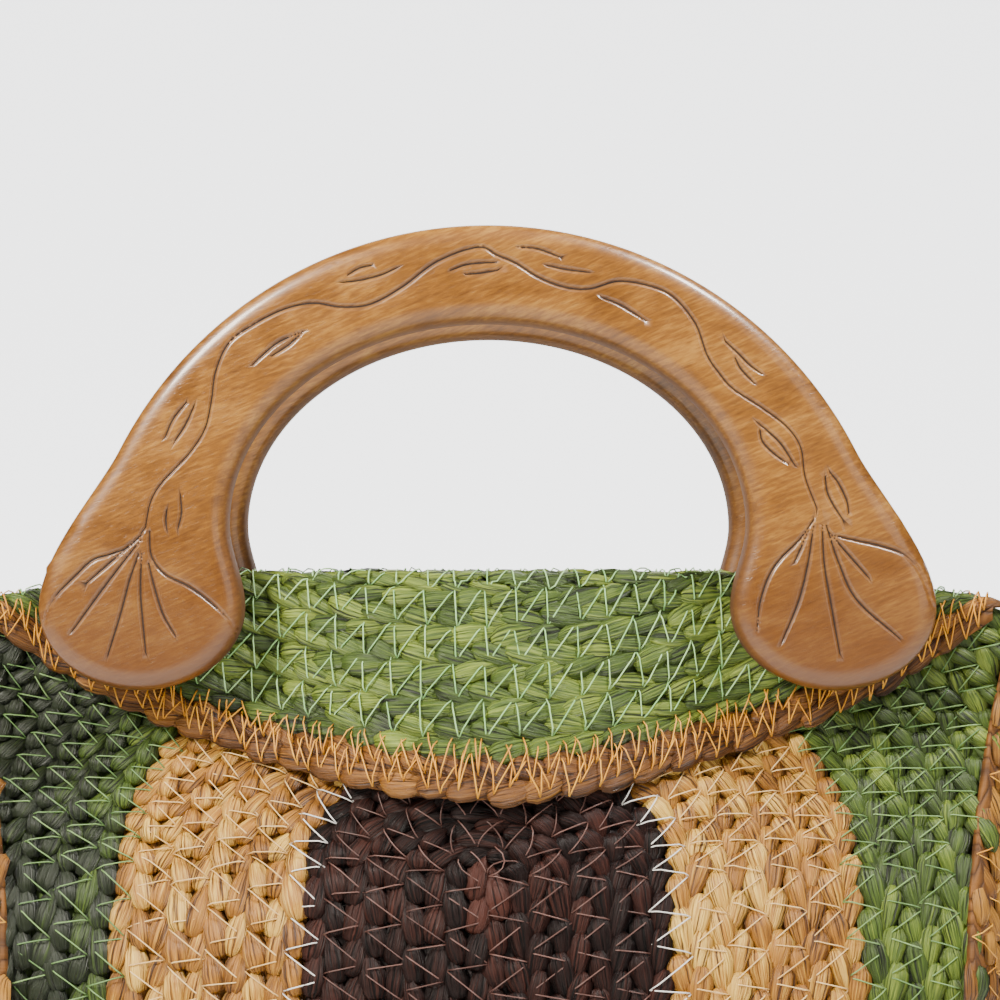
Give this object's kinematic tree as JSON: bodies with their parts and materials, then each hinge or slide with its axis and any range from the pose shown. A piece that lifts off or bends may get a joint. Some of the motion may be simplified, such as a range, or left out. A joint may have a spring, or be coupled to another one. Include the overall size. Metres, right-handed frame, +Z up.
{
  "type": "straw basket bag",
  "caption": "Coiled straw braid basket bag with a crescent cuff folded over each side of the mouth and carved wooden arch handles.",
  "frame": {"origin": "on the surface that the bag stands on, under the middle of the bag", "axes": "+X to the right across the mouth as seen from the front, -Y out of the front panel, +Z up to the handles"},
  "size_m": [0.233, 0.086, 0.2878],
  "materials": {
    "brown_straw": "dull plaited husk",
    "natural_straw": "satin plaited husk",
    "green_straw": "satin plaited husk",
    "rust_straw": "satin plaited husk",
    "wood": "satin varnish",
    "screw_steel": "plain"
  },
  "bodies": {
    "root": {"front_panel_core": "brown_straw", "front_panel_natural_rows": "natural_straw", "front_panel_green_rows": "green_straw", "front_cuff_green_rows": "green_straw", "front_cuff_rust_edge": "rust_straw", "front_handle": "wood", "front_handle_screw_left": "screw_steel", "front_handle_screw_right": "screw_steel", "back_panel_core": "brown_straw", "back_panel_natural_rows": "natural_straw", "back_panel_green_rows": "green_straw", "back_cuff_green_rows": "green_straw", "back_cuff_rust_edge": "rust_straw", "back_handle": "wood", "back_handle_screw_left": "screw_steel", "back_handle_screw_right": "screw_steel", "gusset": "rust_straw"}
  },
  "joints": []
}
